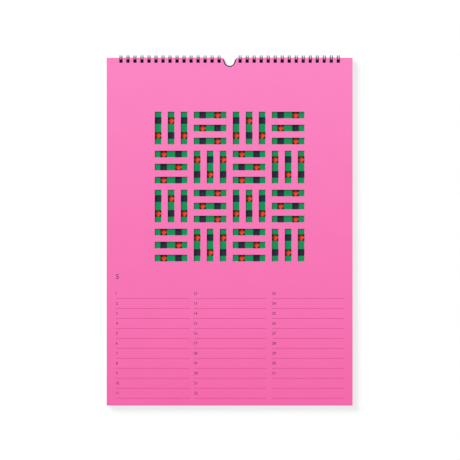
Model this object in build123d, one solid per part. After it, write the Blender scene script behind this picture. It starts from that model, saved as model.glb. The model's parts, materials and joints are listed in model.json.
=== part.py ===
from build123d import *
import math
import os

# A hanging birthday calendar: loose die-cut leaves of stiff paper, punched along the top edge,
# held by two combs of twin-loop wire and hung by a wire hanger that lies inside the loops.
# Working frame, in millimetres: X to the right, Y to the back, Z up, with Z = 0 at the leaves'
# top edge and Y = 0 at the middle of the stack. The export moves it to the nail's seat.

# Leaves: one month each, on A3 sheets
SHEET_WIDTH = 297.0
SHEET_HEIGHT = 420.0
LEAF_THICKNESS = 0.2
LEAF_GAP = 0.15
LATER_LEAF_COUNT = 4
TURNED_LEAF_COUNT = 5
BLOCK_GAP = 0.1

# Binding: three loops to the inch, with two loops left out in the middle for the hanger
PITCH = 25.4 / 3
LOOPS_PER_COMB = 15
LOOPS_LEFT_OUT = 2
WIRE = 0.9
LEG_SPACING = 2.4
RING_SIDES = 12
RING_SLACK = 0.325
EDGE_STRIP = 1.8
TURN_CLEARANCE = 0.6
HOLE_SIDE_CLEARANCE = 0.35
HOLE_END_CLEARANCE = 0.2
ROOT_ANGLE = -18.0
TIP_ANGLE = -35.0
ROOT_FLARE = 0.7
TIP_FLARE = 0.6
TIP_REACH = 9.0
STUB = 1.5

# Hanger: a straight wire with a bend in the middle that the nail goes into
HANGER_WIRE = 1.7
HANGER_SIDES = 8
HANGER_LENGTH = 150.0
HANGER_STACK_GAP = 0.06
HANGER_RING_GAP = 0.16
BEND_DEPTH = 9.8
BEND_RADIUS = 6.4
BEND_SLANT = 20.0
BEND_SHOULDER = 4.0

# Thumb notch in every leaf, parallel to the bend; its margin is less than half the hanger's wire
NOTCH_MARGIN = 0.7
NOTCH_CORNER = 1.5

# Die-cut pattern: a basket weave of square blocks, each of a few parallel slots
BLOCKS_ACROSS = 4
SLOTS_PER_BLOCK = 3
SLOT_WIDTH = 8.0
BAND_WIDTH = 7.7
PATTERN_BELOW_EDGE = 155.5
WINDOWS_PER_BLOCK = 2
WINDOW_WIDTH = 8.0
WINDOW_PITCH = 18.0
WINDOW_OVERRUN = 2.0
LOZENGE_WIDTH = 8.0
LOZENGE_STEP = 2

slot_pitch = SLOT_WIDTH + BAND_WIDTH
block_pitch = SLOTS_PER_BLOCK * slot_pitch
block_size = block_pitch - BAND_WIDTH

stack_depth = (
    (4 + LATER_LEAF_COUNT + TURNED_LEAF_COUNT) * LEAF_THICKNESS + 3 * LEAF_GAP + 2 * BLOCK_GAP
)
ring_radius = stack_depth / 2 + HANGER_WIRE + WIRE / 2 + RING_SLACK
ring_z = -(ring_radius - WIRE / 2 - EDGE_STRIP - TURN_CLEARANCE)
# Corners of the many-sided ring stand outside the true circle as far as its sides cut inside it
corner_radius = ring_radius / math.sqrt(math.cos(math.pi / RING_SIDES))
hole_width = LEG_SPACING + WIRE + 2 * HOLE_SIDE_CLEARANCE
hole_bottom = ring_z - corner_radius - WIRE / 2 - HOLE_END_CLEARANCE
hole_height = -EDGE_STRIP - hole_bottom

hanger_y = stack_depth / 2 + HANGER_STACK_GAP + HANGER_WIRE / 2
hanger_reach = ring_radius - WIRE / 2 - HANGER_WIRE / 2 - HANGER_RING_GAP
hanger_z = ring_z + math.sqrt(hanger_reach**2 - hanger_y**2)
bend_centre_z = hanger_z - BEND_DEPTH + BEND_RADIUS
nail_z = hanger_z - BEND_DEPTH + HANGER_WIRE / 2


def loop_places():
    """X of every loop's middle, left comb first."""
    first = (LOOPS_LEFT_OUT + 1) / 2 * PITCH
    right = [first + i * PITCH for i in range(LOOPS_PER_COMB)]
    left = [-x for x in reversed(right)]
    return left, right


def cup(radius, shoulder, level):
    """Half of a round-bottomed cup with slanted flanks: where its bottom arc, its flank and its
    shoulder arc end, from the bottom up, as far as the shoulder lies level."""
    slant = math.radians(BEND_SLANT)
    sine, cosine = math.sin(slant), math.cos(slant)
    flank_x, flank_z = radius * cosine, bend_centre_z - radius * sine
    shoulder_z = level - shoulder * (1 - sine)
    shoulder_x = flank_x + (shoulder_z - flank_z) * sine / cosine
    return (flank_x, flank_z), (shoulder_x, shoulder_z), (shoulder_x + shoulder * cosine, level)


def cup_edges(radius, shoulder, level):
    """The whole cup's outline, from the left shoulder's level end to the right one's."""
    flank, top, end = cup(radius, shoulder, level)
    mirrored = [(-x, z) for x, z in (flank, top, end)]
    return [
        RadiusArc(mirrored[2], mirrored[1], shoulder),
        Line(mirrored[1], mirrored[0]),
        ThreePointArc(mirrored[0], (0, bend_centre_z - radius), flank),
        Line(flank, top),
        RadiusArc(top, end, shoulder),
    ]


def notch():
    """The thumb notch: it follows the hanger's bend and has a rounded corner at each side."""
    edges = cup_edges(BEND_RADIUS + NOTCH_MARGIN, NOTCH_CORNER, 0)
    return make_face(edges + [Line(edges[-1] @ 1, edges[0] @ 0)])


def sheet_outline():
    """The sheet with its thumb notch and one punched hole for each loop."""
    left, right = loop_places()
    hole_z = (hole_bottom - EDGE_STRIP) / 2
    holes = [Pos(x, hole_z) * Rectangle(hole_width, hole_height) for x in left + right]
    sheet = Pos(0, -SHEET_HEIGHT / 2) * Rectangle(SHEET_WIDTH, SHEET_HEIGHT)
    return sheet - [notch()] - holes


def blocks():
    """Centre of each block of the weave, its column, and whether its slots stand upright."""
    for column in range(BLOCKS_ACROSS):
        for row in range(BLOCKS_ACROSS):
            x = (column - (BLOCKS_ACROSS - 1) / 2) * block_pitch
            z = ((BLOCKS_ACROSS - 1) / 2 - row) * block_pitch - PATTERN_BELOW_EDGE
            yield x, z, column, (column + row) % 2 == 0


def spread(count, pitch):
    """Places of a row of equal steps about its middle."""
    return [(i - (count - 1) / 2) * pitch for i in range(count)]


def slots():
    """Slots of the front leaf: each block has a few in parallel."""
    cuts = []
    for x, z, _, upright in blocks():
        for offset in spread(SLOTS_PER_BLOCK, slot_pitch):
            if upright:
                cuts.append(Pos(x + offset, z) * Rectangle(SLOT_WIDTH, block_size))
            else:
                cuts.append(Pos(x, z + offset) * Rectangle(block_size, SLOT_WIDTH))
    return cuts


def windows():
    """Windows of the second leaf: they cross all slots of a block and leave bars between them."""
    length = block_size + 2 * WINDOW_OVERRUN
    cuts = []
    for x, z, _, upright in blocks():
        for offset in spread(WINDOWS_PER_BLOCK, WINDOW_PITCH):
            if upright:
                cuts.append(Pos(x, z + offset) * Rectangle(length, WINDOW_WIDTH))
            else:
                cuts.append(Pos(x + offset, z) * Rectangle(WINDOW_WIDTH, length))
    return cuts


def lozenges():
    """Lozenge holes of the third leaf, at every second crossing of a slot and a window."""
    side = LOZENGE_WIDTH / math.sqrt(2)
    cuts = []
    for x, z, column, upright in blocks():
        for i, across in enumerate(spread(SLOTS_PER_BLOCK, slot_pitch)):
            for j, along in enumerate(spread(WINDOWS_PER_BLOCK, WINDOW_PITCH)):
                if (i + j + column) % LOZENGE_STEP == 0:
                    place = Pos(x + across, z + along) if upright else Pos(x + along, z + across)
                    cuts.append(place * Rot(0, 0, 45) * Rectangle(side, side))
    return cuts


def leaf(front_y, thickness, cuts=()):
    """A sheet, or a block of sheets, with its front face at front_y."""
    face = sheet_outline()
    if cuts:
        face = face - list(cuts)
    return extrude(Plane.XZ.offset(-front_y - thickness) * face, amount=thickness)


def ring_point(x, radius, degrees):
    """A point on the ring round the stack; 0 degrees is at the back and 90 at the top."""
    angle = math.radians(degrees)
    return (x, radius * math.cos(angle), ring_z + radius * math.sin(angle))


def side_radius(degrees):
    """Distance of the many-sided ring from its middle in one direction."""
    side = 360 / RING_SIDES
    from_middle = (degrees % side) - side / 2
    return corner_radius * math.cos(math.radians(side / 2)) / math.cos(math.radians(from_middle))


def leg(x):
    """One leg of a loop, from the back over the top and down the front to just before its tip."""
    side = 360 / RING_SIDES
    end = 360 + TIP_ANGLE - TIP_REACH
    angles = [i * side for i in range(RING_SIDES) if i * side < end] + [end]
    return [ring_point(x, side_radius(a), a) for a in angles]


def wire_comb(places):
    """One comb of twin-loop wire: a single wire that runs along the roots and out to each tip."""
    root = side_radius(ROOT_ANGLE)
    tip = side_radius(TIP_ANGLE)
    half = LEG_SPACING / 2
    points = [ring_point(places[0] - half - ROOT_FLARE - STUB, root, ROOT_ANGLE)]
    for x in places:
        points.append(ring_point(x - half - ROOT_FLARE, root, ROOT_ANGLE))
        points += leg(x - half)
        points.append(ring_point(x - half + TIP_FLARE, tip, TIP_ANGLE))
        points.append(ring_point(x + half - TIP_FLARE, tip, TIP_ANGLE))
        points += reversed(leg(x + half))
        points.append(ring_point(x + half + ROOT_FLARE, root, ROOT_ANGLE))
    points.append(ring_point(places[-1] + half + ROOT_FLARE + STUB, root, ROOT_ANGLE))
    path = Polyline(*points)
    start = Plane(origin=path @ 0, z_dir=path % 0, x_dir=(0, 1, 0))
    side = WIRE * math.sqrt(math.pi) / 2
    return sweep(start * Rectangle(side, side), path=path, transition=Transition.RIGHT)


def hanger():
    """The hanger: two straight arms and a round bend that drops into the thumb notch."""
    end = HANGER_LENGTH / 2
    edges = cup_edges(BEND_RADIUS, BEND_SHOULDER, hanger_z)
    left = Line((-end, hanger_z), edges[0] @ 0)
    right = Line(edges[-1] @ 1, (end, hanger_z))
    path = Plane.XZ.offset(-hanger_y) * Wire([left] + edges + [right])
    start = Plane(origin=path @ 0, z_dir=path % 0)
    section = RegularPolygon(HANGER_WIRE / 2, HANGER_SIDES, rotation=180 / HANGER_SIDES)
    return sweep(start * section, path=path)


def build():
    """Every piece in the working frame, by its name, from the front of the stack to the back."""
    pieces = {}
    front_y = -stack_depth / 2
    patterns = (
        ("front_leaf", slots()),
        ("second_leaf", windows()),
        ("third_leaf", lozenges()),
        ("fourth_leaf", ()),
    )
    for name, cuts in patterns:
        pieces[name] = leaf(front_y, LEAF_THICKNESS, cuts)
        front_y += LEAF_THICKNESS + LEAF_GAP
    front_y += BLOCK_GAP - LEAF_GAP
    for name, count in (("later_leaves", LATER_LEAF_COUNT), ("turned_leaves", TURNED_LEAF_COUNT)):
        pieces[name] = leaf(front_y, count * LEAF_THICKNESS)
        front_y += count * LEAF_THICKNESS + BLOCK_GAP
    left, right = loop_places()
    pieces["wire_comb_left"] = wire_comb(left)
    pieces["wire_comb_right"] = wire_comb(right)
    pieces["hanger"] = hanger()
    return pieces


os.makedirs("parts", exist_ok=True)
to_nail = Pos(0, -hanger_y, -nail_z)
for name, piece in build().items():
    export_step(to_nail * piece, f"parts/{name}.step")
print(f"ring radius {ring_radius:.3f}, ring z {ring_z:.3f}, hole {hole_width:.2f} x {hole_height:.3f}")
print(f"leaves' top edge at y {-hanger_y:.4f}, z {-nail_z:.4f}; hanger z {hanger_z - nail_z:.4f}")
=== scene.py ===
"""A hanging birthday calendar: round binding wires, dyed papers, day tables and a white wall.

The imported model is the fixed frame. Everything is in metres and in its coordinates: X to the
right, Y towards the wall, Z up, with the origin where the nail holds the hanger.
"""

import json
import math

import bmesh
import bpy
from bpy.props import FloatProperty, FloatVectorProperty, IntProperty, PointerProperty
from bpy.types import Operator, Panel, PropertyGroup
from mathutils import Color, Matrix, Vector


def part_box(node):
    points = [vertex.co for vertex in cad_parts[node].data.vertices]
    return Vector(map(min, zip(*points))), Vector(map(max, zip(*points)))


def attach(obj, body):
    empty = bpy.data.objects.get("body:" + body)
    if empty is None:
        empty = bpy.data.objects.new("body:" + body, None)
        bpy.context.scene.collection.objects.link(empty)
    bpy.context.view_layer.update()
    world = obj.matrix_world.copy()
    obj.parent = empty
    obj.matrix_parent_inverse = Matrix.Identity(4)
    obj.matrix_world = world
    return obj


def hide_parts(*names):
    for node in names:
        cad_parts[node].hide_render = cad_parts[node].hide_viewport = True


bl_info = {
    "name": "Birthday calendar",
    "version": (1, 0, 0),
    "blender": (4, 5, 0),
    "location": "View3D > Sidebar > Calendar",
    "description": "Round wires, dyed papers and printed day tables for a wire-bound wall calendar",
    "category": "Add Mesh",
}

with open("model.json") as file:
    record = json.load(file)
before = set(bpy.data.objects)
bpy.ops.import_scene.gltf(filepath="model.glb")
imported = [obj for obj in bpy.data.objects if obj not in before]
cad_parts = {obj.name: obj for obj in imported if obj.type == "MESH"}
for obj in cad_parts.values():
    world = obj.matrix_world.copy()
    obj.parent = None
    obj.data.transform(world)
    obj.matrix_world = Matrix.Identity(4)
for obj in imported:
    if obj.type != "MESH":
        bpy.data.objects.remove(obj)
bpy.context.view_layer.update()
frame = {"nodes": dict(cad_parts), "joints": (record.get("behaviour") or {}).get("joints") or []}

MM = 0.001
# Vertices this close together are one
MERGE_DISTANCE = MM / 1000
RIGHT = Vector((1, 0, 0))
TO_WALL = Vector((0, 1, 0))
UP = Vector((0, 0, 1))

# Places in the frame that the pieces are worked out from
leaf_low, leaf_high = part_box("front_leaf")
second_low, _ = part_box("second_leaf")
later_low, later_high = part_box("later_leaves")
turned_low, turned_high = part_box("turned_leaves")
EDGE_Z = leaf_high.z
STACK_MIDDLE_Y = (leaf_low.y + turned_high.y) / 2
ARM_Z = next(joint["pos_m"][2] for joint in frame["joints"] if joint["name"] == "hanger_swing")


FULL_TONE = 255
OPAQUE = 1.0


def tone(red, green, blue):
    """A colour mixed as eight-bit screen values, as the linear colour that a shader takes."""
    mixed = Color([value / FULL_TONE for value in (red, green, blue)])
    return (*mixed.from_srgb_to_scene_linear(), OPAQUE)


def length(name, description, millimetres):
    """A length property, given in millimetres and kept in metres."""
    return FloatProperty(
        name=name, description=description, default=millimetres * MM, min=0, unit="LENGTH"
    )


def angle(name, description, degrees):
    """An angle property, given in degrees and kept in radians."""
    return FloatProperty(
        name=name, description=description, default=math.radians(degrees), subtype="ANGLE"
    )


def strength(name, description, value):
    """A property for the strength of a light."""
    return FloatProperty(name=name, description=description, default=value, min=0)


def colour(name, description, value):
    """A colour property."""
    return FloatVectorProperty(
        name=name, description=description, default=value, size=4, min=0, max=1, subtype="COLOR"
    )


class CalendarWires(PropertyGroup):
    """Sizes and colours of the binding combs and of the hanger."""

    comb_wire: length("Comb wire", "Thickness of the binding wire", 0.9)
    ring_radius: length("Ring radius", "From the ring's middle to the wire's middle", 4.1)
    ring_below_edge: length("Ring below edge", "How far the rings' middle is below the edge", 1.25)
    leg_spacing: length("Leg spacing", "Between the two legs of a loop", 2.4)
    root_flare: length("Root flare", "Bend radius where a leg turns into the root run", 0.7)
    stub: length("Stub", "Root run left over at each end of a comb", 1.5)
    loops: IntProperty(name="Loops", description="Twin loops in each comb", default=15, min=1)
    hanger_wire: length("Hanger wire", "Thickness of the hanger's wire", 1.7)
    bend_radius: length("Bend radius", "Of the hanger's round bend", 6.4)
    bend_shoulder: length("Bend shoulder", "Radius between an arm and the bend's flank", 4.0)
    bend_slant: angle("Bend slant", "Lean of the bend's flanks from upright", 20)
    comb_lacquer: colour("Comb lacquer", "Coating of the binding wire", tone(12, 12, 14))
    hanger_lacquer: colour("Hanger lacquer", "Coating of the hanger's wire", tone(14, 14, 16))


class CalendarPapers(PropertyGroup):
    """Colours of the leaves."""

    # The front leaf's two pinks are painted light from above: paler at the top, darker at the foot
    front_upper: colour("Front, upper", "Front leaf near its top edge", tone(252, 132, 195))
    front_lower: colour("Front, lower", "Front leaf near its bottom edge", tone(243, 103, 169))
    second: colour("Second", "Leaf of the next month", tone(2, 143, 84))
    third: colour("Third", "Leaf behind the second", tone(34, 40, 54))
    fourth: colour("Fourth", "Leaf seen through the small holes", tone(240, 76, 26))
    plain: colour("Plain", "Outer sheet of the turned leaves", tone(231, 226, 214))


class CalendarTables(PropertyGroup):
    """Places and sizes of the printed day tables, from the sheet's middle and its top edge."""

    table_left: FloatProperty(
        name="Table left",
        description="Left end of the first column's rules",
        default=-137.2 * MM,
        unit="LENGTH",
    )
    column_pitch: length("Column pitch", "From one column's left end to the next", 94.3)
    rule_length: length("Rule length", "Of a rule in the middle column", 87.2)
    first_rule: length("First rule", "First rule below the top edge", 290.7)
    rule_step: length("Rule step", "From one rule to the next", 12.036)
    rule_width: length("Rule width", "Thickness of the printed lines", 0.3)
    number_height: length("Number height", "Height of the day numbers", 3.3)
    number_rise: length("Number rise", "From a rule up to the middle of its number", 6.2)
    month_height: length("Month height", "Height of the month's number", 5.8)
    month_baseline: length("Month baseline", "Foot of the month's number below the edge", 267.0)
    front_rule_ink: colour("Front rules", "Ruled lines on the front leaf", tone(177, 4, 104))
    front_number_ink: colour("Front numbers", "Numbers on the front leaf", tone(52, 0, 28))
    second_rule_ink: colour("Second rules", "Ruled lines on the second leaf", tone(2, 66, 40))
    second_number_ink: colour("Second numbers", "Numbers on the second leaf", tone(2, 34, 24))


class CalendarStage(PropertyGroup):
    """Light, wall and camera."""

    camera_distance: length("Camera distance", "From the front leaf to the lens", 3000)
    frame_width: length("Frame width", "Width that the camera sees at the front leaf", 555.4)
    aim_down: length("Aim down", "Height of the picture's middle below the nail", 198.5)
    aim_right: length("Aim right", "Distance of the picture's middle from the nail", 0.45)
    wall_gap: length("Wall gap", "Between the binding and the wall", 0.15)
    wall_colour: colour("Wall", "Paint of the wall", tone(150, 150, 150))
    wall_glow: strength("Wall glow", "White that the view adds to the open wall", 0.735)
    key: strength("Key", "Strength of the key light", 11.2)
    key_height: angle("Key height", "Angle between the key light's rays and the wall", 12)
    key_size: angle("Key size", "How wide the key light looks from the calendar", 20)
    wall_light: strength("Wall light", "Strength of the light on the wall", 4.1)
    wall_light_height: angle("Wall light height", "Angle between its rays and the wall", 30)
    wall_light_size: angle("Wall light size", "How wide it looks from the wall", 30)
    back: strength("Back", "Strength of the light from behind", 2.3)
    back_size: angle("Back size", "How wide the light from behind looks", 40)
    fill: strength("Fill", "Strength of the even light", 0.26)


class Socket:
    """An output socket in an expression: arithmetic on it adds Math nodes to its shader."""

    def __init__(self, shader, output):
        self.shader = shader
        self.output = output

    def maths(self, operation, *values):
        """Adds one Math node."""
        return self.shader.node("ShaderNodeMath", {"operation": operation}, dict(enumerate(values)))

    def __add__(self, other):
        return self.maths("ADD", self, other)

    def __radd__(self, other):
        return self.maths("ADD", other, self)

    def __sub__(self, other):
        return self.maths("SUBTRACT", self, other)

    def __rsub__(self, other):
        return self.maths("SUBTRACT", other, self)

    def __mul__(self, other):
        return self.maths("MULTIPLY", self, other)

    def __rmul__(self, other):
        return self.maths("MULTIPLY", other, self)

    def __abs__(self):
        return self.maths("ABSOLUTE", self)


# A Mix node has sockets for every type of value, and these are the ones for colours
MIX_SHARE = 0
MIX_FIRST = 6
MIX_SECOND = 7
MIX_RESULT = 2


class Shader:
    """The node tree of its owner, a material or world, while it is made."""

    def __init__(self, owner):
        owner.use_nodes = True
        self.owner = owner
        self.tree = owner.node_tree
        self.tree.nodes.clear()

    def node(self, kind, settings=(), inputs=(), output=0):
        """Adds a node: its settings or a ramp's stops first, then its inputs' values or links."""
        node = self.tree.nodes.new(kind)
        for name, value in dict(settings).items():
            if name == "stops":
                self.set_stops(node.color_ramp, value)
            else:
                setattr(node, name, value)
        for name, value in dict(inputs).items():
            if isinstance(value, Socket):
                self.tree.links.new(value.output, node.inputs[name])
            else:
                node.inputs[name].default_value = value
        return Socket(self, node.outputs[output]) if node.outputs else None

    def set_stops(self, ramp, stops):
        """Gives a colour ramp flat steps of colour, each from its own place on."""
        ramp.interpolation = "CONSTANT"
        ramp.elements[1].position = 1
        for place, value in stops[1:]:
            ramp.elements.new(place).color = value
        ramp.elements.remove(ramp.elements[len(ramp.elements) - 1])
        ramp.elements[0].color = stops[0][1]

    def place(self, axis):
        """The point's X, Y or Z on the piece."""
        point = self.node("ShaderNodeTexCoord", output="Object")
        return self.node("ShaderNodeSeparateXYZ", {}, {"Vector": point}, axis)

    def facing_wall(self):
        """1 on a face towards the wall or away from it, 0 on a sheet's cut edge."""
        normal = self.node("ShaderNodeTexCoord", output="Normal")
        return abs(self.node("ShaderNodeSeparateXYZ", {}, {"Vector": normal}, "Y"))

    def noise(self, count, detail, distortion=0):
        """Noise of a given count to the metre; distortion draws it out into curly fibres."""
        point = self.node("ShaderNodeTexCoord", output="Object")
        inputs = {"Vector": point, "Scale": count, "Detail": detail, "Distortion": distortion}
        return self.node("ShaderNodeTexNoise", {}, inputs)

    def spread(self, value, low, high):
        """Maps low to 0 and high to 1, and stops there."""
        return self.node(
            "ShaderNodeMapRange", {}, {"Value": value, "From Min": low, "From Max": high}
        )

    def mix(self, share, first, second):
        """A colour between two."""
        inputs = {MIX_SHARE: share, MIX_FIRST: first, MIX_SECOND: second}
        return self.node("ShaderNodeMix", {"data_type": "RGBA"}, inputs, MIX_RESULT)

    def mix_surfaces(self, share, first, second):
        """A surface or background between two."""
        return self.node("ShaderNodeMixShader", {}, {0: share, 1: first, 2: second})

    def brightness(self, value, base):
        """A colour made lighter or darker."""
        return self.node("ShaderNodeHueSaturation", {}, {"Color": base, "Value": value})

    def bump(self, height, strength, distance):
        """The normal of a surface that stands up by height times the distance."""
        return self.node(
            "ShaderNodeBump", {}, {"Height": height, "Strength": strength, "Distance": distance}
        )

    def seen(self):
        """1 for a ray from the camera, a mirror or glass, which sees a white room."""
        rays = ("Is Camera Ray", "Is Glossy Ray", "Is Transmission Ray")
        camera, glossy, transmission = (self.node("ShaderNodeLightPath", output=r) for r in rays)
        return self.node(
            "ShaderNodeMath",
            {"operation": "ADD", "use_clamp": True},
            {0: camera, 1: glossy + transmission},
        )

    def finish(self, base, roughness, normal, **constants):
        """Ends a material in one Principled shader."""
        inputs = {"Base Color": base, "Roughness": roughness, "Normal": normal}
        inputs.update({name.replace("_", " "): value for name, value in constants.items()})
        surface = self.node("ShaderNodeBsdfPrincipled", {}, inputs)
        self.node("ShaderNodeOutputMaterial", {}, {"Surface": surface})


NOISE_MIDDLE = 0.5
# How much of the brightness each kind of noise changes
MOTTLE_SHADE = 0.05
FIBRE_SHADE = 0.06
TOOTH_SHADE = 0.04
CLOUD_SHADE = 0.06
SOAK_SHADE = 0.3


def uneven(*grains):
    """A brightness of about 1 that each grain's noise changes by its share."""
    level = 1
    for noise, share in grains:
        level = level + share * (noise - NOISE_MIDDLE)
    return level


CUT_COLOUR = tone(246, 240, 232)
CUT_PALENESS = 0.22
TOOTH_RELIEF = 0.6
CARD_ROUGHNESS = 0.7
TOOTH_ROUGHNESS = 0.2


def paper_surface(shader, base):
    """Uncoated dyed card: a soft mottle, curly fibres, a fine tooth and paler cut edges."""
    mottle = shader.noise(count=38, detail=3)
    fibres = shader.noise(count=520, detail=4, distortion=1.6)
    tooth = shader.noise(count=2600, detail=2)
    level = uneven((mottle, MOTTLE_SHADE), (fibres, FIBRE_SHADE), (tooth, TOOTH_SHADE))
    cut = 1 - shader.facing_wall()
    base = shader.mix(cut * CUT_PALENESS, shader.brightness(level, base), CUT_COLOUR)
    roughness = CARD_ROUGHNESS + TOOTH_ROUGHNESS * tooth
    normal = shader.bump(fibres + TOOTH_RELIEF * tooth, strength=0.16, distance=0.03 * MM)
    shader.finish(base, roughness, normal, Specular_IOR_Level=0.15)


def front_paper(papers):
    """Pink card with painted light from above: a little paler towards the top edge."""
    shader = Shader(bpy.data.materials.new("pink_card"))
    # Painted light: the pink pales from the foot to the top edge as if lit from above
    height = shader.spread(shader.place("Z"), leaf_low.z, leaf_high.z)
    paper_surface(shader, shader.mix(height, papers.front_lower, papers.front_upper))
    return shader.owner


def plain_paper(name, dye):
    """Card of one colour, a little uneven in its dye from one end of the sheet to the other."""
    shader = Shader(bpy.data.materials.new(name))
    cloud = shader.noise(count=6, detail=2)
    paper_surface(shader, shader.brightness(uneven((cloud, CLOUD_SHADE)), dye))
    return shader.owner


# Across a sheet's thickness, the painted shade between sheets starts this far from its middle
GAP_SHADE_START = 0.4
HALF_SHEET = 0.5
GAP_SHADE_DARKNESS = 0.7


def stacked_paper(name, low, high, dyes):
    """A closed stack of sheets, each edge in its own dye, with painted shade between the sheets."""
    shader = Shader(bpy.data.materials.new(name))
    depth = shader.spread(shader.place("Y"), low.y, high.y)
    stops = [(i / len(dyes), dye) for i, dye in enumerate(dyes)]
    base = shader.node("ShaderNodeValToRGB", {"stops": stops}, {"Fac": depth})
    sheet = depth * len(dyes)
    from_middle = abs(sheet.maths("FRACT", sheet) - HALF_SHEET)
    # Painted shade: the cut edge darkens towards the gap between one sheet and the next
    gap_shade = shader.spread(from_middle, GAP_SHADE_START, HALF_SHEET) * (1 - shader.facing_wall())
    paper_surface(shader, shader.brightness(1 - GAP_SHADE_DARKNESS * gap_shade, base))
    return shader.owner


RUBBED_COLOUR = tone(34, 34, 38)
RUBBED_SHARE = 0.25
LACQUER_ROUGHNESS = 0.24
RUBBED_ROUGHNESS = 0.2
GRAIN_ROUGHNESS = 0.08


def wire_finish(name, lacquer):
    """Black plastic-coated steel wire: glossy, with a fine grain and a few dull rubbed spots."""
    shader = Shader(bpy.data.materials.new(name))
    rubbed = shader.spread(shader.noise(count=260, detail=3), low=0.55, high=0.75)
    grain = shader.noise(count=5200, detail=2)
    base = shader.mix(rubbed * RUBBED_SHARE, lacquer, RUBBED_COLOUR)
    roughness = LACQUER_ROUGHNESS + RUBBED_ROUGHNESS * rubbed + GRAIN_ROUGHNESS * grain
    normal = shader.bump(grain + rubbed, strength=0.12, distance=0.02 * MM)
    shader.finish(base, roughness, normal, Specular_IOR_Level=0.1)
    return shader.owner


INK_ROUGHNESS = 0.6
SOAK_ROUGHNESS = 0.2


def ink_finish(name, ink):
    """Printing ink that has soaked unevenly into the card."""
    shader = Shader(bpy.data.materials.new(name))
    soak = shader.noise(count=2400, detail=3)
    base = shader.brightness(uneven((soak, SOAK_SHADE)), ink)
    roughness = INK_ROUGHNESS + SOAK_ROUGHNESS * soak
    normal = shader.bump(soak, strength=0.1, distance=0.01 * MM)
    shader.finish(base, roughness, normal, Specular_IOR_Level=0.3)
    return shader.owner


def new_piece(name, bm, material, body, smooth=True):
    """Makes the mesh an object of one material that rides on a body."""
    bmesh.ops.remove_doubles(bm, verts=bm.verts, dist=MERGE_DISTANCE)
    bmesh.ops.recalc_face_normals(bm, faces=bm.faces)
    for face in bm.faces:
        face.smooth = smooth
    mesh = bpy.data.meshes.new(name)
    bm.to_mesh(mesh)
    bm.free()
    mesh.materials.append(material)
    piece = bpy.data.objects.new(name, mesh)
    bpy.context.scene.collection.objects.link(piece)
    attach(piece, body)
    return piece


class WirePath:
    """A round wire drawn out by extruding and spinning its open end."""

    def __init__(self, bm, thickness, start, sides):
        self.bm = bm
        facing_right = Matrix.Translation(start) @ Matrix.Rotation(math.pi / 2, 4, "Y")
        made = bmesh.ops.create_circle(
            bm, segments=sides, radius=thickness / 2, matrix=facing_right
        )
        self.end = set(made["verts"])

    def rim(self):
        """The edges round the open end."""
        return list({e for v in self.end for e in v.link_edges if e.other_vert(v) in self.end})

    def run(self, step):
        """Goes straight on."""
        made = bmesh.ops.extrude_edge_only(self.bm, edges=self.rim())
        self.end = {v for v in made["geom"] if isinstance(v, bmesh.types.BMVert)}
        bmesh.ops.translate(self.bm, vec=step, verts=list(self.end))

    def turn(self, centre, axis, angle, steps):
        """Goes round a centre."""
        geometry = list(self.end) + self.rim()
        made = bmesh.ops.spin(
            self.bm, geom=geometry, cent=centre, axis=axis, angle=angle, steps=steps
        )
        self.end = {v for v in made["geom_last"] if isinstance(v, bmesh.types.BMVert)}


def mirror_right(bm):
    """Adds the right half of what is left of X = 0 and joins the two there."""
    geometry = bm.verts[:] + bm.edges[:] + bm.faces[:]
    at_origin = Matrix.Identity(4)
    bmesh.ops.mirror(bm, geom=geometry, matrix=at_origin, merge_dist=MERGE_DISTANCE, axis="X")


def close_ends(bm, rounding):
    """Closes the open ends of a wire and takes the sharp edge off them."""
    bmesh.ops.remove_doubles(bm, verts=bm.verts, dist=MERGE_DISTANCE)
    rims = [e for e in bm.edges if e.is_boundary]
    bmesh.ops.holes_fill(bm, edges=rims, sides=0)
    bmesh.ops.bevel(
        bm, geom=rims, offset=rounding, segments=3, profile=0.5, affect="EDGES", material=-1
    )


def ring_directions(degrees):
    """Outward and onward directions on a ring, with 0 degrees at the wall's side, 90 at the top."""
    turned = math.radians(degrees)
    outward = TO_WALL * math.cos(turned) + UP * math.sin(turned)
    return outward, RIGHT.cross(outward)


COMBS = ("left", "right")
# Where a ring has its root and its tip, in degrees
ROOT_ANGLE = -18
TIP_ANGLE = -35
FULL_TURN = 360
COMB_SIDES = 12
RING_STEPS = 30
FLARE_STEPS = 5
TIP_STEPS = 8
# A share of the wire's thickness
COMB_END_ROUNDING = 1 / 6
END_TOLERANCE = MM / 100


def twin_loop(bm, wires, pitch):
    """One twin loop about X = 0: up from the root run, over the top, down the front, round to its
    tip under the root, and back the same way."""
    half = wires.leg_spacing / 2
    flare = wires.root_flare
    radius = wires.ring_radius
    centre = Vector((0, STACK_MIDDLE_Y, EDGE_Z - wires.ring_below_edge))
    # A flare or a tip leaves the ring where its outermost point is still to come
    leave_root = ROOT_ANGLE + math.degrees(flare / radius)
    leave_tip = FULL_TURN + TIP_ANGLE - math.degrees(half / radius)
    outward, onward = ring_directions(leave_root)
    root = centre + outward * radius
    wire = WirePath(bm, wires.comb_wire, root - onward * flare - RIGHT * pitch / 2, COMB_SIDES)
    wire.run(RIGHT * (pitch / 2 - half - flare))
    wire.turn(root - RIGHT * (half + flare), -outward, math.pi / 2, FLARE_STEPS)
    wire.turn(centre, RIGHT, math.radians(leave_tip - leave_root), RING_STEPS)
    outward, _ = ring_directions(leave_tip)
    wire.turn(centre + outward * radius, outward, math.pi / 2, TIP_STEPS)
    mirror_right(bm)


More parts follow.
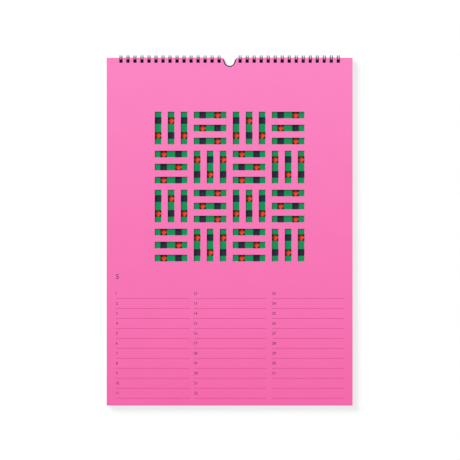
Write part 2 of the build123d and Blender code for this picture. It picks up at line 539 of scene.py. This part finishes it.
def comb_mesh(wires, node):
    """A comb of twin loops along its node's length, as one wire."""
    low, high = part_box(node)
    reach = wires.leg_spacing / 2 + wires.root_flare + wires.stub
    first, last = low.x + reach, high.x - reach
    pitch = (last - first) / (wires.loops - 1)
    bm = bmesh.new()
    twin_loop(bm, wires, pitch)
    loop = bm.verts[:] + bm.edges[:] + bm.faces[:]
    for count in range(1, wires.loops):
        copy = bmesh.ops.duplicate(bm, geom=loop)["geom"]
        corners = [v for v in copy if isinstance(v, bmesh.types.BMVert)]
        bmesh.ops.translate(bm, vec=RIGHT * pitch * count, verts=corners)
    bmesh.ops.translate(bm, vec=RIGHT * first, verts=bm.verts)
    # The root run of the first and the last loop is cut back to the stub
    surplus = pitch / 2 - reach
    for side, end in ((1, first - pitch / 2), (-1, last + pitch / 2)):
        rim = [v for v in bm.verts if abs(v.co.x - end) < END_TOLERANCE]
        bmesh.ops.translate(bm, vec=RIGHT * surplus * side, verts=rim)
    close_ends(bm, wires.comb_wire * COMB_END_ROUNDING)
    return bm


HANGER_SIDES = 20
SHOULDER_STEPS = 10
BEND_STEPS = 14
# A share of the wire's thickness
HANGER_END_ROUNDING = 1 / 5


def hanger_mesh(wires):
    """The hanger's left half, from its end along the arm and down to the bend's lowest point,
    mirrored to the right."""
    low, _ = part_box("hanger")
    sine, cosine = math.sin(wires.bend_slant), math.cos(wires.bend_slant)
    bend_centre = UP * (wires.bend_radius - wires.hanger_wire / 2)
    flank_foot = bend_centre - (RIGHT * cosine + UP * sine) * wires.bend_radius
    flank_top_z = ARM_Z - wires.bend_shoulder * (1 - sine)
    flank = (RIGHT * sine - UP * cosine) * ((flank_top_z - flank_foot.z) / cosine)
    shoulder_x = (flank_foot - flank).x - wires.bend_shoulder * cosine
    bm = bmesh.new()
    wire = WirePath(bm, wires.hanger_wire, Vector((low.x, 0, ARM_Z)), HANGER_SIDES)
    wire.run(RIGHT * (shoulder_x - low.x))
    shoulder_centre = Vector((shoulder_x, 0, ARM_Z - wires.bend_shoulder))
    bend_angle = math.pi / 2 - wires.bend_slant
    wire.turn(shoulder_centre, TO_WALL, bend_angle, SHOULDER_STEPS)
    wire.run(flank)
    wire.turn(bend_centre, -TO_WALL, bend_angle, BEND_STEPS)
    mirror_right(bm)
    close_ends(bm, wires.hanger_wire * HANGER_END_ROUNDING)
    return bm


INK_THICKNESS = 0.02 * MM
INK_SUNK = 0.01 * MM
RULES_PER_COLUMN = 11
# How much longer than the middle column's rules each column's are
RULE_CHANGES = (2.0 * MM, 0.0, -0.6 * MM)
LETTER_STEPS = 3
# A month's count of days and its number
FRONT_MONTH = (31, 5)
SECOND_MONTH = (30, 6)


def rule_start(tables, ink_y, column, rule):
    """The left end of a rule."""
    x = tables.table_left + column * tables.column_pitch
    z = EDGE_Z - tables.first_rule - rule * tables.rule_step
    return Vector((x, ink_y, z))


def print_rules(tables, ink_y):
    """The ruled lines of a day table."""
    bm = bmesh.new()
    for column, change in enumerate(RULE_CHANGES):
        rule_length = tables.rule_length + change
        sizes = Matrix.Diagonal((rule_length, INK_THICKNESS, tables.rule_width, 1))
        for rule in range(RULES_PER_COLUMN):
            middle = rule_start(tables, ink_y, column, rule) + RIGHT * rule_length / 2
            bmesh.ops.create_cube(bm, size=1, matrix=Matrix.Translation(middle) @ sizes)
    return bm


def add_number(bm, number, height, left_foot):
    """Sets a number in the built-in lettering, made mesh before it is placed."""
    text = bpy.data.curves.new("number", "FONT")
    text.body = str(number)
    # Half to each side makes it one thick, so that it can be scaled to the ink's thickness
    text.extrude = 1 / 2
    text.resolution_u = LETTER_STEPS
    holder = bpy.data.objects.new("number", text)
    bpy.context.scene.collection.objects.link(holder)
    bpy.context.view_layer.update()
    mesh = bpy.data.meshes.new_from_object(holder)
    left = min(v.co.x for v in mesh.vertices)
    foot = min(v.co.y for v in mesh.vertices)
    tall = max(v.co.y for v in mesh.vertices) - foot
    scale = height / tall
    upright = Matrix.Rotation(math.pi / 2, 4, "X")
    sizes = Matrix.Diagonal((scale, scale, INK_THICKNESS, 1))
    to_corner = Matrix.Translation((-left, -foot, 0))
    mesh.transform(Matrix.Translation(left_foot) @ upright @ sizes @ to_corner)
    bm.from_mesh(mesh)
    bpy.data.objects.remove(holder)
    bpy.data.curves.remove(text)
    bpy.data.meshes.remove(mesh)


def print_numbers(tables, ink_y, days, month):
    """The day numbers of a table and the number that stands for the month."""
    bm = bmesh.new()
    to_foot = UP * (tables.number_rise - tables.number_height / 2)
    for day in range(1, days + 1):
        column, rule = divmod(day - 1, RULES_PER_COLUMN)
        foot = rule_start(tables, ink_y, column, rule) + to_foot
        add_number(bm, day, tables.number_height, foot)
    foot = Vector((tables.table_left, ink_y, EDGE_Z - tables.month_baseline))
    add_number(bm, month, tables.month_height, foot)
    return bm


# Dyes of the leaves that show only at their cut edges
OCHRE = tone(232, 176, 52)
BLUE = tone(58, 112, 176)
VIOLET = tone(112, 70, 138)
RED = tone(214, 60, 72)
SKY = tone(92, 168, 190)
MOSS = tone(120, 150, 80)


class CALENDAR_OT_papers(Operator):
    """Gives every leaf its dyed card"""

    bl_idname = "calendar.papers"
    bl_label = "Finish the papers"

    def execute(self, context):
        papers = context.scene.calendar_papers
        later = (OCHRE, BLUE, VIOLET, RED)
        turned = (SKY, VIOLET, OCHRE, MOSS, papers.plain)
        finishes = {
            "front_leaf": front_paper(papers),
            "second_leaf": plain_paper("green_card", papers.second),
            "third_leaf": plain_paper("charcoal_card", papers.third),
            "fourth_leaf": plain_paper("orange_card", papers.fourth),
            "later_leaves": stacked_paper("later_cards", later_low, later_high, later),
            "turned_leaves": stacked_paper("turned_cards", turned_low, turned_high, turned),
        }
        for node, material in finishes.items():
            for slot in frame["nodes"][node].material_slots:
                slot.material = material
        return {"FINISHED"}


class CALENDAR_OT_wire_combs(Operator):
    """Makes the two combs of twin-loop wire round"""

    bl_idname = "calendar.wire_combs"
    bl_label = "Make the wire combs"

    def execute(self, context):
        wires = context.scene.calendar_wires
        material = wire_finish("comb_lacquer", wires.comb_lacquer)
        for side in COMBS:
            node = f"wire_comb_{side}"
            comb = new_piece(
                f"round_comb_{side}", comb_mesh(wires, node), material, "calendar"
            )
            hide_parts(node)
        return {"FINISHED"}


class CALENDAR_OT_hanger(Operator):
    """Makes the hanger's wire round"""

    bl_idname = "calendar.hanger"
    bl_label = "Make the hanger"

    def execute(self, context):
        wires = context.scene.calendar_wires
        material = wire_finish("hanger_lacquer", wires.hanger_lacquer)
        hanger = new_piece("round_hanger", hanger_mesh(wires), material, "hanger")
        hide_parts("hanger")
        return {"FINISHED"}


class CALENDAR_OT_day_tables(Operator):
    """Prints the day tables of the front leaf and of the leaf behind it"""

    bl_idname = "calendar.day_tables"
    bl_label = "Print the day tables"

    def execute(self, context):
        tables = context.scene.calendar_tables
        prints = (
            ("front", "front_leaf", leaf_low.y, FRONT_MONTH),
            ("second", "calendar", second_low.y, SECOND_MONTH),
        )
        for leaf, body, face_y, (days, month) in prints:
            # The ink's middle: it stands a hair proud of the leaf's face
            ink_y = face_y + INK_SUNK - INK_THICKNESS / 2
            meshes = {
                "rule": print_rules(tables, ink_y),
                "number": print_numbers(tables, ink_y, days, month),
            }
            for kind, bm in meshes.items():
                name = f"{leaf}_{kind}"
                material = ink_finish(f"{name}_ink", getattr(tables, f"{name}_ink"))
                new_piece(f"{name}s", bm, material, body, smooth=False)
        return {"FINISHED"}


WALL_HALF_WIDTH = 1.5
WHITE = tone(FULL_TONE, FULL_TONE, FULL_TONE)
# Painted shade: the near-black that the wall takes behind the punched holes
HOLE_SHADE_COLOUR = tone(10, 10, 10)
# How much of the room within reach a point of the wall sees, behind a punched hole and beside it
OPENNESS_REACH = 20 * MM
OPENNESS_SAMPLES = 16
HOLE_OPENNESS = 0.25
WALL_OPENNESS = 0.4


def wall_finish(stage):
    """Grey paint with a glow on top that makes it white to the view and keeps the calendar's
    shadow. Behind the punched holes it turns dark as painted shade. From behind it lets the view
    through."""
    shader = Shader(bpy.data.materials.new("wall_paint"))
    paint = shader.node("ShaderNodeBsdfDiffuse", {}, {"Color": stage.wall_colour})
    # Painted shade for behind the holes, in place of the lit paint
    painted_hole_shade = shader.node("ShaderNodeBsdfDiffuse", {}, {"Color": HOLE_SHADE_COLOUR})
    glow = shader.node("ShaderNodeEmission", {}, {"Strength": stage.wall_glow})
    bright = shader.node("ShaderNodeAddShader", {}, {0: paint, 1: glow})
    lit = shader.mix_surfaces(shader.seen(), paint, bright)
    settings = {"samples": OPENNESS_SAMPLES}
    reach = {"Distance": OPENNESS_REACH}
    openness = shader.node("ShaderNodeAmbientOcclusion", settings, reach, "AO")
    open_wall = shader.spread(openness, HOLE_OPENNESS, WALL_OPENNESS)
    # Where the wall sees little of the room, behind the holes, the painted shade takes over
    front = shader.mix_surfaces(open_wall, painted_hole_shade, lit)
    behind = shader.node("ShaderNodeNewGeometry", output="Backfacing")
    clear = shader.node("ShaderNodeBsdfTransparent")
    surface = shader.mix_surfaces(behind, front, clear)
    shader.node("ShaderNodeOutputMaterial", {}, {"Surface": surface})
    return shader.owner


def add_wall(stage):
    """A wall right behind the binding. It takes the calendar's shadow, and throws no shadow of its
    own and no light back on the papers."""
    bm = bmesh.new()
    wall_y = max(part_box("wire_comb_left")[1].y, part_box("hanger")[1].y) + stage.wall_gap
    upright = Matrix.Translation(TO_WALL * wall_y) @ Matrix.Rotation(math.pi / 2, 4, "X")
    bmesh.ops.create_grid(bm, x_segments=4, y_segments=4, size=WALL_HALF_WIDTH, matrix=upright)
    mesh = bpy.data.meshes.new("wall")
    bm.to_mesh(mesh)
    bm.free()
    mesh.materials.append(wall_finish(stage))
    wall = bpy.data.objects.new("wall", mesh)
    bpy.context.scene.collection.objects.link(wall)
    wall.visible_diffuse = False
    wall.visible_shadow = False
    return wall


def add_sun(name, energy, size, direction):
    """A far-off lamp that looks a given size and shines in a given direction."""
    light = bpy.data.lights.new(name, "SUN")
    light.energy = energy
    light.angle = size
    lamp = bpy.data.objects.new(name, light)
    lamp.rotation_euler = direction.to_track_quat("-Z", "Y").to_euler()
    bpy.context.scene.collection.objects.link(lamp)
    return lamp


def link_lamp(lamp, part, pieces, state):
    """Includes or excludes pieces among a lamp's receivers, which it lights, or its blockers."""
    linked = bpy.data.collections.new(f"{lamp.name}_{part}")
    for piece in pieces:
        linked.objects.link(piece)
    for entry in linked.collection_objects:
        entry.light_linking.link_state = state
    setattr(lamp.light_linking, f"{part}_collection", linked)


def from_upper_left(height):
    """The way that rays from the upper left take, at an angle to the wall."""
    return (RIGHT - UP).normalized() * math.cos(height) + TO_WALL * math.sin(height)


# The light from behind comes away from the wall, down and to the left
FROM_BEHIND = (-TO_WALL * 2 - UP - RIGHT).normalized()


def light_room(scene, stage, wall):
    """Soft light from the upper left, low over the sheets and higher over the wall, a weak light
    from behind, and an even white room."""
    combs = [bpy.data.objects[f"round_comb_{side}"] for side in COMBS]
    key = add_sun("key", stage.key, stage.key_size, from_upper_left(stage.key_height))
    link_lamp(key, "receiver", [wall], "EXCLUDE")
    # As in the photograph, the sheets throw a shadow and the thin rings none that shows
    link_lamp(key, "blocker", combs, "EXCLUDE")
    wall_rays = from_upper_left(stage.wall_light_height)
    wall_light = add_sun("wall_light", stage.wall_light, stage.wall_light_size, wall_rays)
    link_lamp(wall_light, "receiver", [wall], "INCLUDE")
    add_sun("back", stage.back, stage.back_size, FROM_BEHIND)
    scene.world = bpy.data.worlds.new("room")
    shader = Shader(scene.world)
    fill = shader.node("ShaderNodeBackground", {}, {"Color": WHITE, "Strength": stage.fill})
    white = shader.node("ShaderNodeBackground", {}, {"Color": WHITE, "Strength": 1.0})
    surface = shader.mix_surfaces(shader.seen(), fill, white)
    shader.node("ShaderNodeOutputWorld", {}, {"Surface": surface})


def add_camera(scene, stage):
    """A long lens straight in front of the wall."""
    lens = bpy.data.cameras.new("camera")
    lens.lens = lens.sensor_width * stage.camera_distance / stage.frame_width
    camera = bpy.data.objects.new("camera", lens)
    camera.location = (stage.aim_right, leaf_low.y - stage.camera_distance, -stage.aim_down)
    camera.rotation_euler = (math.pi / 2, 0, 0)
    scene.collection.objects.link(camera)
    scene.camera = camera


class CALENDAR_OT_stage(Operator):
    """Sets up the wall, the lights and the camera"""

    bl_idname = "calendar.stage"
    bl_label = "Set the stage"

    def execute(self, context):
        stage = context.scene.calendar_stage
        context.scene.view_settings.view_transform = "Standard"
        add_camera(context.scene, stage)
        light_room(context.scene, stage, add_wall(stage))
        return {"FINISHED"}


operators = (
    CALENDAR_OT_papers,
    CALENDAR_OT_wire_combs,
    CALENDAR_OT_hanger,
    CALENDAR_OT_day_tables,
    CALENDAR_OT_stage,
)
groups = {
    "calendar_wires": CalendarWires,
    "calendar_papers": CalendarPapers,
    "calendar_tables": CalendarTables,
    "calendar_stage": CalendarStage,
}


class CALENDAR_PT_panel(Panel):
    """Lists the steps that dress the calendar"""

    bl_label = "Birthday calendar"
    bl_space_type = "VIEW_3D"
    bl_region_type = "UI"
    bl_category = "Calendar"

    def draw(self, context):
        for operator in operators:
            self.layout.operator(operator.bl_idname)


def register():
    for part in (*groups.values(), *operators, CALENDAR_PT_panel):
        bpy.utils.register_class(part)
    for name, group in groups.items():
        setattr(bpy.types.Scene, name, PointerProperty(type=group))


def unregister():
    for name in groups:
        delattr(bpy.types.Scene, name)
    for part in (CALENDAR_PT_panel, *reversed(operators), *groups.values()):
        bpy.utils.unregister_class(part)


def main():
    """Dresses the calendar."""
    register()
    bpy.ops.calendar.papers()
    bpy.ops.calendar.wire_combs()
    bpy.ops.calendar.hanger()
    bpy.ops.calendar.day_tables()
    bpy.ops.calendar.stage()


if __name__ == "__main__":
    main()
